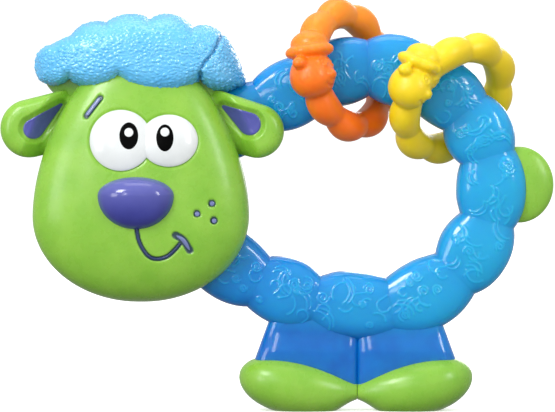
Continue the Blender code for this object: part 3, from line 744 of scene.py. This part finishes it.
MOUTH = smooth_line(on_face((0.25, -7.0), (0.75, -10.0), (2.0, -12.8), (3.7, -14.8), (5.9, -15.4),
                            (8.5, -14.7), (10.7, -12.8), (12.2, -11.0)))
CHEEK = smooth_line(on_face((10.9, -8.9), (12.9, -10.2), (14.7, -13.0)))
BROW = np.array([(EYE_X - 14.6, EYE_Z + 6.9), (EYE_X - 10.8, EYE_Z + 11.8)])
FRECKLES = on_face((20.75, -0.2), (16.7, -3.0), (21.3, -4.9))
MOUTH_HALF, CHEEK_HALF, BROW_HALF = 0.42, 0.80, 0.62
FRECKLE_R = 0.85
GROOVE_DEPTH = 0.55
GROOVE_SLOPE = 0.45  # how far outside its line a groove ends
EYE_GROOVE_DEPTH = 0.35  # of the shadow line round the eyes


def make_head():
    front = half_blob("head_front", head_surface, 300, 330, -1)
    points = coordinates(front)
    flat = points[:, (0, 2)]
    outside = points[:, 1] < PLANE_Y - 1.0
    depth = np.zeros(len(points))
    for line, half in ((MOUTH, MOUTH_HALF), (CHEEK, CHEEK_HALF), (BROW, BROW_HALF)):
        away = distance_to(flat, line)
        depth = np.maximum(depth, smoothstep(1.0 - (away - half) / GROOVE_SLOPE) * GROOVE_DEPTH)
    for centre in FRECKLES:
        away = np.hypot(*(flat - centre).T)
        depth = np.maximum(depth, smoothstep(1.0 - (away - FRECKLE_R) / 0.4) * GROOVE_DEPTH)
    # Painted shade: the deeper parts of the grooves are darkened towards navy.
    set_tone(front, 0.9 * smoothstep((depth / GROOVE_DEPTH - 0.3) / 0.6) * outside)
    rim = smoothstep(1.0 - (eye_reach(flat[:, 0], flat[:, 1]) - 0.1) / 0.6) * EYE_GROOVE_DEPTH
    push_out(front, -np.maximum(depth, rim) * outside)
    add_piece(front, green, "head_front_shell")
    rear = half_blob("head_rear", head_surface, 120, 140, 1)
    add_piece(rear, green, "head_rear_shell")


def bead(name, line, half, sink, paint, taper=1.0):
    """Paint that fills a groove: a low rounded ridge along a line on the face."""
    run = run_along(line)
    s = np.linspace(0.0, run[-1], max(24, int(run[-1] / 0.2)))
    place = places_at(s, run, line)
    tangent = np.gradient(place, s, axis=0)
    tangent /= np.linalg.norm(tangent, axis=1, keepdims=True)
    side = stacked(-tangent[:, 1], tangent[:, 0])
    end = np.clip(np.minimum(s, run[-1] - s) / (half * 1.2), 0.0, 1.0)
    width = half * np.sqrt(np.clip(1.0 - (1.0 - end) ** 2, 0.004, 1.0))
    width *= taper + (1.0 - taper) * np.sin(pi * s / run[-1])
    across, lift = section(20, 2.0)
    flat = place[:, None, :] + side[:, None, :] * (across * width[:, None])[..., None]
    y = face_y(flat[..., 0], flat[..., 1]) + sink - lift * 0.35
    add_piece(capped_tube(name, in_depth(flat, y)), paint)


def round_over(r, power=2):
    return np.sqrt(1.0 - 0.999 * r ** power)


def lens_mesh(name, outline, centre, front, lift, back, rings=24):
    """Closed patch over a surface: outline points around a centre, front(x, z) in Y, and
    lift(r) in millimetres, where r runs from 0 at the centre to 1 at the outline."""
    count = len(outline)
    r = np.sin(np.linspace(0.0, pi / 2, rings + 1))[1:]
    flat = centre + (outline - centre)[None, :, :] * r[:, None, None]
    base = front(flat[..., 0], flat[..., 1])
    r = np.broadcast_to(r[:, None], base.shape)
    top = in_depth(flat, base - lift(r)).reshape(-1, 3)
    bottom = in_depth(flat, base + back * round_over(r, 4)).reshape(-1, 3)
    mid = front(*centre)
    ends = in_depth(np.array([centre, centre]), np.array([mid - lift(np.zeros(1))[0], mid + back]))
    size = len(top)
    faces = grid_faces(rings, count, True)
    faces += (np.array(faces) + size).tolist()
    for j in range(count):
        k = (j + 1) % count
        faces.append((2 * size, j, k))
        faces.append((2 * size + 1, size + k, size + j))
        faces.append((size - count + j, size - count + k, 2 * size - count + k, 2 * size - count + j))
    return make_mesh(name, np.concatenate([top, bottom, ends]), faces)


def oval(x, z, half_width, half_height, count=96):
    across, up = section(count, 2.0)
    return stacked(x + across * half_width, z + up * half_height)


EYE_RIM = 0.35
EYE_DOME = 1.5


def dome(r):
    return EYE_RIM * np.sqrt(1.0 - r ** 8) + EYE_DOME * (1.0 - r ** 2)


def eye_y(x, z):
    """Y of the white eyes' surface at a place in front view."""
    lifts = [dome(np.clip(np.hypot((x - ex) / ew, (z - ez) / eh), 0.0, 1.0)) for ex, ez, ew, eh in EYES]
    return face_y(x, z) - np.maximum(*lifts)


def make_eyes():
    lenses = [lens_mesh("lens", oval(ex, ez, ew, eh, 140), (ex, ez), face_y, dome, 0.9, 40)
              for ex, ez, ew, eh in EYES]
    plate = combined("eyes", lenses[0], ("UNION", lenses[1]))
    add_piece(plate, white, "eye_plate")
    for (_, side), (ex, ez, _, _), (px, pz, pw, ph, up) in zip(HANDS, EYES, PUPILS):
        x, z = ex + px, ez + pz
        add_piece(lens_mesh(side + "_pupil", oval(x, z, pw, ph), (x, z), eye_y,
                            lambda r: 0.10 * round_over(r), 0.3), black)
        z += up
        add_piece(lens_mesh(side + "_glint", oval(x, z, GLINT_R, GLINT_R), (x, z), eye_y,
                            lambda r: 0.12 + 0.05 * round_over(r), 0.2, 12), white)


NOSE_CENTRE_Y = node_box("nose")[0][1] + NOSE_HALF[1]


def nose_surface(angle, latitude):
    rise, ratio = np.sin(latitude), np.cos(latitude)
    across, front = superellipse(angle, 2.1)
    z = FACE_Z + NOSE_WIDE + np.where(rise > 0, rise * NOSE_UP, rise * NOSE_DOWN)
    return FACE_X + across * ratio * NOSE_HALF[0], NOSE_CENTRE_Y - front * ratio * NOSE_HALF[1], z


def make_face():
    nose = blob("nose_tip", nose_surface, 160, 110)
    # Painted light: the nose is darker towards its bottom and lighter towards its top.
    set_tone(nose, smoothstep((coordinates(nose)[:, 2] - FACE_Z + 5.5) / 14.0))
    add_piece(nose, purple, "nose")
    bead("mouth", MOUTH, MOUTH_HALF, 0.42, mouth_paint)
    bead("cheek_line", CHEEK, 0.75 * CHEEK_HALF, 0.40, groove_paint, 0.35)
    bead("brow", BROW, 0.85 * BROW_HALF, 0.36, groove_paint)
    for n, (x, z) in enumerate(FRECKLES):
        freckle = lens_mesh(f"freckle_{n}", oval(x, z, 0.8 * FRECKLE_R, 0.8 * FRECKLE_R, 40), (x, z),
                            face_y, lambda r: 0.14 * round_over(r) - 0.24, 0.6, 10)
        add_piece(freckle, groove_paint)


# ---- ears

def drop_outline(end, tip, count):
    """Outline round two circles, given as (x, z, radius), with straight tangents between them."""
    centre, point = np.array(end[:2]), np.array(tip[:2])
    axis = point - centre
    heading = atan2(axis[1], axis[0])
    lean = acos((end[2] - tip[2]) / np.linalg.norm(axis))
    big = heading + np.linspace(lean, TAU - lean, count)
    small = heading + np.linspace(-lean, lean, count)
    arcs = [centre + end[2] * polar(1.0, big), point + tip[2] * polar(1.0, small)]
    rough = np.concatenate([*arcs, arcs[0][:1]])
    run = run_along(rough)
    return places_at(np.linspace(0.0, run[-1], count, endpoint=False), run, rough)


def drop_reach(x, z, end, tip):
    """Distance outside such an outline; negative inside."""
    a, b = np.array(end[:2]), np.array(tip[:2])
    ab = b - a
    p = stacked(x - a[0], z - a[1])
    t = np.clip((p @ ab) / (ab @ ab), 0.0, 1.0)
    return np.hypot(*np.moveaxis(p - t[..., None] * ab, -1, 0)) - (end[2] + (tip[2] - end[2]) * t)


EAR_CIRCLES = {side: [(HEAD_X + hand * out, z, radius) for out, z, radius in EARS[side]]
               for hand, side in HANDS}


def ear_dip(x, z):
    """How far the ear bends back near the edge of the face."""
    beyond = np.abs(x - HEAD_X) - head_ratio(z) * HEAD_HALF_WIDTH
    return EAR_DIP * smoothstep(1.0 - beyond / EAR_DIP_REACH)


def ear_y(x, z, side):
    """Y of the ear's front: a fat rounded rim round a shallow hollow."""
    end, root, lining, tip = EAR_CIRCLES[side]
    inside = np.clip(-drop_reach(x, z, end, root) / EAR_RIM, 0.0, 1.0)
    bulge = EAR_HALF_DEPTH * np.sqrt(1.0 - (1.0 - inside) ** 2)
    hollow = LINING_DEPTH * smoothstep(1.0 - drop_reach(x, z, lining, tip) / LINING_SLOPE)
    return EAR_Y - bulge + hollow + ear_dip(x, z)


def make_ears():
    for side, (end, root, lining, tip) in EAR_CIRCLES.items():
        centre = ((end[0] + root[0]) / 2, (end[1] + root[1]) / 2)
        ear = lens_mesh(side + "_ear_leaf", drop_outline(end, root, 300), centre,
                        lambda x, z: np.full(np.shape(x), EAR_Y), lambda r: 0.0 * r, EAR_HALF_DEPTH, 70)
        points = coordinates(ear)
        x, y, z = points.T
        points[:, 1] = np.where(y <= EAR_Y + 1e-3, ear_y(x, z, side), y + ear_dip(x, z))
        set_coordinates(ear, points)
        add_piece(ear, green, side + "_ear")
        middle = (lining[0] + 0.12 * (tip[0] - lining[0]), lining[1] + 0.12 * (tip[1] - lining[1]))
        leaf = lens_mesh(side + "_ear_lining", drop_outline(lining, tip, 160), middle,
                         lambda x, z: ear_y(x, z, side),
                         lambda r: 0.10 + 0.45 * r ** 3 - 0.35 * r ** 12, 0.5, 30)
        set_tone(leaf, np.full(len(leaf.vertices), 0.5))
        add_piece(leaf, purple, side + "_inner_ear")


# ---- cap

# Scallops of the cap's outline, from the cap's middle: x, z and how far the stretch to the next one
# bulges. The first and last stretches of each are the rounded ends.
CAP_LEFT, CAP_RIGHT = (-28.1, -4.2, 0.0), (29.8, -8.4, 0.0)
CAP_CROWN = (CAP_LEFT, (-23.6, 1.2, 0.2), (-18.1, 3.8, 0.1), (-16.0, 6.2, 0.9), (-8.4, 7.4, 1.9),
             (3.7, 8.3, 2.5), (15.5, 6.0, 1.4), (23.3, 4.4, 2.0), CAP_RIGHT)
CAP_HEM = (CAP_LEFT, (-24.0, -9.3, -1.0), (-18.4, -8.0, -2.9), (-4.8, -8.2, -5.0),
           (17.5, -8.6, -1.9), (27.6, -10.2, 0.0), CAP_RIGHT)
CAP_CROWN_PLAIN = (CAP_LEFT, (-22.0, 3.0, 4.5), (22.0, 5.2, 1.5), CAP_RIGHT)
CAP_HEM_PLAIN = (CAP_LEFT, (-23.0, -9.4, -2.2), (27.6, -10.2, 0.0), CAP_RIGHT)
CREASE = smooth_line(((23.4, 4.0), (22.0, 0.5), (20.5, -1.8), (19.0, -3.4), (17.8, -5.7), (17.5, -8.0)))
CREASE_DEPTH = 0.9
CREASE_HALF = 0.45
PEBBLE_PITCH = 1.1
PEBBLE_HEIGHT = 0.34
PEBBLE_SHIFT = Vector((5.0, 10.0, 15.0))


def scallops(x, points, round_last=False):
    """Height of a scalloped edge at x. Its first stretch is a quarter round, and its last one too
    where round_last is set."""
    z = np.zeros_like(x)
    last = len(points) - 2
    for n, ((xa, za, bulge), (xb, zb, _)) in enumerate(zip(points, points[1:])):
        inside = (x >= xa) & (x <= xb)
        t = (x[inside] - xa) / (xb - xa)
        if n == 0:
            z[inside] = za + (zb - za) * np.sqrt(1.0 - (1.0 - t) ** 2)
        elif n == last and round_last:
            z[inside] = zb + (za - zb) * np.sqrt(1.0 - t ** 2)
        else:
            z[inside] = za + (zb - za) * t + bulge * (1.0 - np.abs(2.0 * t - 1.0) ** 2.2)
    return z


def cap_surface(angle, latitude):
    """latitude runs along X from the left end to the right one."""
    low, high = CAP_LEFT[0], CAP_RIGHT[0]
    reach = np.clip((low + high) / 2 + (high - low) / 2 * np.sin(latitude), low, high)
    top, bottom = scallops(reach, CAP_CROWN), scallops(reach, CAP_HEM, True)
    plain_top, plain_bottom = scallops(reach, CAP_CROWN_PLAIN), scallops(reach, CAP_HEM_PLAIN, True)
    fade = np.sqrt(np.clip(1.0 - np.abs(np.sin(latitude)) ** 3.2, 0.0, 1.0))
    up, front = superellipse(angle, 3.0)
    top = plain_top + (top - plain_top) * np.clip(up, 0.0, 1.0) ** 3
    bottom = plain_bottom + (bottom - plain_bottom) * smoothstep(-up / 0.8)
    z = CAP_Z + (top + bottom) / 2 + up * (top - bottom) / 2
    return CAP_X + reach, PLANE_Y - front * np.where(front > 0, CAP_FRONT, CAP_REAR) * fade, z


def pebbles(points):
    """Height of the fleece's fine pebbled grain at each point."""
    near = np.array([noise.voronoi(Vector(p / PEBBLE_PITCH) + PEBBLE_SHIFT)[0][:2] for p in points])
    return PEBBLE_HEIGHT * np.clip(1.6 * (near[:, 1] - near[:, 0]), 0.0, 1.0)


def make_cap():
    for side, half in HALVES:
        mesh = half_blob(f"fleece_{half}", cap_surface, 250, 300, side)
        points = coordinates(mesh)
        ragged = np.array([noise.noise(Vector(p / 1.3)) for p in points])
        away = np.abs(distance_to(points[:, (0, 2)] - (CAP_X, CAP_Z), CREASE) + 0.35 * ragged)
        crease = np.exp(-(away / CREASE_HALF) ** 2)
        outer = smoothstep((points[:, 1] - PLANE_Y) * side)
        painted_hem_shade = smoothstep((CAP_Z - 6.6 - points[:, 2]) / 3.5)
        # Painted shade: the crease and the lower part by the hem are darkened on the outside.
        set_tone(mesh, np.maximum(0.75 * crease, 0.45 * painted_hem_shade) * outer)
        push_out(mesh, (pebbles(points) - CREASE_DEPTH * crease) * outer)
        add_piece(mesh, fleece, f"cap_{half}", sharp=80.0)
        crest = half_blob(f"crest_{half}", lump(CREST_X, CREST_Z, CREST_HALF, 2.3, 0.8), 90, 90, side)
        # Painted shadow under the cap: the crest darkens towards navy near its top.
        set_tone(crest, 0.5 * smoothstep((coordinates(crest)[:, 2] - CAP_Z + 13.5) / 5.0))
        add_piece(crest, green)


# ---- boots and tail

def boot_surface(hand):
    def surface(angle, latitude):
        along = np.sin(latitude)
        reach = BOOT_OUTER_X - BOOT_HALF[0] + along * BOOT_HALF[0]
        taper = np.sqrt(np.clip(1.0 - along * along, 0.0, 1.0)) * (1.0 + BOOT_FULLER * along)
        up, front = superellipse(angle, 2.2)
        sole = 1.0 - BOOT_INNER_LIFT * smoothstep(1.0 - reach / BOOT_LIFT_REACH)
        z = boot_middle_z(reach) + up * np.where(up < 0, sole, 1.0) * taper * BOOT_HALF[2]
        reach = np.maximum(reach, 0.05) * BOOT_LENGTHS[hand]
        return LEGS_X + hand * reach, PLANE_Y - front * taper * BOOT_HALF[1], np.maximum(z, 0.0)
    return surface


def make_feet_and_tail():
    shapes = [(f"{name}_boot", boot_surface(hand), 110, 120) for hand, name in HANDS]
    shapes.append(("tail", lump(TAIL_X, TAIL_Z, TAIL_HALF, 2.1, 1.0, TAIL_BACK), 70, 80))
    for name, surface, columns, rows in shapes:
        for side, half in HALVES:
            mesh = half_blob(f"{name}_{half}_skin", surface, columns, rows, side)
            add_piece(mesh, green, f"{name}_{half}")


# ---- soft loops

def loop_parts(node):
    """Closed meshes that together make a loop, its bumpy band and its small head, with the head's
    base and axes: off the band's plane, outwards and up."""
    loop_r, lift, phase, degrees, lean, place, nod, slide, broad, inner = LOOPS[node]
    angle, lean = radians(degrees), radians(lean)
    outward = np.array([cos(angle), 0.0, sin(angle)])
    along = np.array([sin(angle), 0.0, -cos(angle)])
    back = np.array([0.0, 1.0, 0.0])
    across = along * sin(lean) + back * cos(lean)
    normal = along * cos(lean) - back * sin(lean)
    centre = np.array([RING_X, PLANE_Y, RING_Z]) + outward * (RING_R + lift)
    count, columns = LOOP_LOBES * 30, 48
    angle = TAU * np.arange(count) / count
    bulge = np.abs(np.cos(angle * LOOP_LOBES / 2.0 + phase)) ** 0.9
    radius = LOOP_CUSP_R + (LOOP_LOBE_R - LOOP_CUSP_R) * bulge
    out = np.cos(angle)[:, None] * outward - np.sin(angle)[:, None] * across
    c, s = section(columns, LOOP_BOX)
    middle = loop_r + LOOP_SWELL * (bulge[:, None] - 0.5)
    points = (centre + out[:, None, :] * (middle + c * radius[:, None])[..., None]
              + normal * (s * radius[:, None])[..., None])
    faces = np.array(grid_faces(count + 1, columns, True)) % (count * columns)
    parts = [make_mesh("band", points.reshape(-1, 3), faces.tolist())]

    spot, tilt = radians(place), radians(nod)
    head_out = outward * cos(spot) - across * sin(spot)
    head_up = outward * sin(spot) + across * cos(spot)
    normal, head_up = (normal * cos(tilt) + head_up * sin(tilt),
                       head_up * cos(tilt) - normal * sin(tilt))
    for middle, sizes, lobes in MINI_PARTS:
        base = (centre + head_out * (loop_r + middle[1]) + normal * (middle[0] + slide)
                + head_up * middle[2])

        def surface(around, latitude):
            rise = np.sin(latitude)
            if lobes == 0:
                ratio = np.cos(latitude) * (1.0 - 0.10 * rise)
            else:
                ratio = np.abs(np.cos(latitude)) ** 0.45
                ratio = ratio * (1.0 + 0.08 * np.abs(np.sin(lobes * around / 2.0)) - 0.04)
            outwards = ratio * np.sin(around)
            outwards = np.where(outwards < 0.0, inner, 1.0) * outwards
            local = (broad * sizes[0] * ratio * np.cos(around), sizes[1] * outwards, sizes[2] * rise)
            return [base[i] + local[0] * normal[i] + local[1] * head_out[i] + local[2] * head_up[i]
                    for i in range(3)]
        parts.append(blob("part", surface, 64, 40))
    return parts, centre + head_out * loop_r + normal * slide, (normal, head_out, head_up)


def ridge(flat, line, half):
    return np.exp(-(distance_to(flat, line) / half) ** 2)


def make_loop(colour, soft):
    name, node = colour + "_ring", colour + "_loop"
    parts, base, axes = loop_parts(node)
    item = new_object("scratch", combined(name, parts[0], *[("UNION", part) for part in parts[1:]]))
    remesh = item.modifiers.new("remesh", "REMESH")
    remesh.mode = "VOXEL"
    remesh.voxel_size = LOOP_VOXEL * MM
    relax = item.modifiers.new("relax", "SMOOTH")
    relax.factor = 0.5
    relax.iterations = 4
    mesh = evaluated(item, name)
    points = coordinates(mesh)
    off, outside, rise = [(points - base) @ axis for axis in axes]
    flat = stacked(outside, rise)
    angles = np.linspace(0.0, 1.5 * TAU, 30)
    spiral = polar(0.35 + 1.35 * angles / angles[-1], angles)
    eyes = np.maximum(*[0.38 * ridge(flat, spiral + (x, 1.5), 0.32) for x in (-1.2, 3.2)])
    smile = 0.5 * ridge(flat, smooth_line(((-1.6, -4.2), (0.6, -5.2), (2.9, -4.4))), 0.38)
    snout = 0.8 * np.exp(-(((outside - 0.9) / 1.7) ** 2 + ((rise + 2.0) / 1.2) ** 2) ** 2)
    push_out(mesh, (eyes - smile + snout) * smoothstep((off - 3.6) / 2.0) * (np.abs(rise) < 8.0))
    # Painted light: lighter towards the top of the loop, where the material has a light_tone.
    set_tone(mesh, smoothstep((points[:, 2] - middle_of(node)[2] + 4.0) / 22.0))
    add_piece(mesh, soft, node, body=node)


# ---- stage, lights and camera

def make_stage():
    """Pale floor that sweeps up into a round backdrop."""
    flat, bend, wall = 3.2, 0.9, 2.2
    profile = [(flat * t, 0.0) for t in (0.02, 0.1, 0.4, 1.0)]
    profile += [(flat + bend * sin(a), bend * (1 - cos(a)))
                for a in np.linspace(0.1, pi / 2, 12)]
    profile.append((flat + bend, wall))
    columns = 96
    points = [(r * cos(TAU * j / columns), r * sin(TAU * j / columns), z)
              for r, z in profile for j in range(columns)]
    faces = [face[::-1] for face in grid_faces(len(profile), columns, True)]
    mesh = bpy.data.meshes.new("floor")
    mesh.from_pydata(points, [], faces + [list(range(columns))])
    mesh.shade_smooth()
    pale = bpy.data.materials.new("pale_floor")
    pale.use_nodes = True
    set_inputs(pale.node_tree.nodes["Principled BSDF"], {
        "Base Color": (0.93, 0.93, 0.93, 1.0), "Roughness": 0.9, "Specular IOR Level": 0.1,
        "Emission Strength": 0.45})
    mesh.materials.append(pale)
    floor = new_object("floor", mesh)
    floor.visible_diffuse = False
    floor.visible_glossy = False


# Soft rectangular lights that face the middle of the toy: place, width and height in metres, power
LIGHTS = (
    ("key", (-0.45, -0.60, 0.62), 0.22, 0.30, 3.6),
    ("left", (-0.68, -0.68, 0.20), 0.28, 0.36, 1.6),
    ("front", (0.05, -1.05, 0.22), 0.40, 0.40, 1.8),
    ("window", (-0.36, -0.95, 0.34), 0.12, 0.34, 0.8),
    ("fill", (0.60, -0.62, 0.40), 0.10, 0.40, 1.6),
    ("top", (0.0, 0.05, 0.95), 0.50, 0.50, 1.4),
    ("rear", (0.30, 1.00, 0.35), 0.50, 0.50, 2.4),
)
TOY_MIDDLE = Vector((0.0, 0.0, 0.055))
CAMERA_DISTANCE = 1.2
VIEW_WIDTH = 0.1527  # what the camera takes in at the parting plane
CAMERA_ELEVATION = 2.0
TARGET = Vector((0.0001, 0.0, 0.0565))


def face_along(item, direction):
    item.rotation_euler = direction.to_track_quat("-Z", "Y").to_euler()


def make_studio():
    make_stage()
    world = bpy.data.worlds.new("studio")
    bpy.context.scene.world = world
    world.use_nodes = True
    add, link = world.node_tree.nodes.new, world.node_tree.links.new
    background = world.node_tree.nodes["Background"]
    place = add("ShaderNodeTexCoord")
    split = add("ShaderNodeSeparateXYZ")
    link(place.outputs["Generated"], split.inputs["Vector"])
    height = add("ShaderNodeMapRange")
    set_inputs(height, {"From Min": -1.0, "From Max": 1.0, "To Min": 0.22, "To Max": 0.95})
    link(split.outputs["Z"], height.inputs["Value"])
    link(height.outputs["Result"], background.inputs["Strength"])
    set_inputs(background, {"Color": (1.0, 1.0, 1.0, 1.0)})
    for name, place, wide, high, power in LIGHTS:
        data = bpy.data.lights.new(name, "AREA")
        data.shape = "RECTANGLE"
        data.size, data.size_y, data.energy = wide, high, power
        item = new_object(name, data)
        item.location = place
        face_along(item, TOY_MIDDLE - item.location)
        item.visible_camera = False
        item.visible_glossy = name != "front"  # that one would glare
    bpy.context.scene.view_settings.view_transform = "Standard"
    data = bpy.data.cameras.new("camera")
    data.lens = data.sensor_width * CAMERA_DISTANCE / VIEW_WIDTH
    data.dof.use_dof = False
    data.clip_end = 50.0
    camera = new_object("camera", data)
    lift = radians(CAMERA_ELEVATION)
    away = Vector((0.0, -cos(lift), sin(lift)))
    camera.location = TARGET + away * CAMERA_DISTANCE
    face_along(camera, -away)
    bpy.context.scene.camera = camera


make_bladder()
make_head()
make_eyes()
make_face()
make_ears()
make_cap()
make_feet_and_tail()
make_loop("orange", orange)
make_loop("yellow", yellow)
plug_materials = frame["nodes"]["fill_plug"].data.materials
plug_materials.clear()
plug_materials.append(blue)
make_studio()
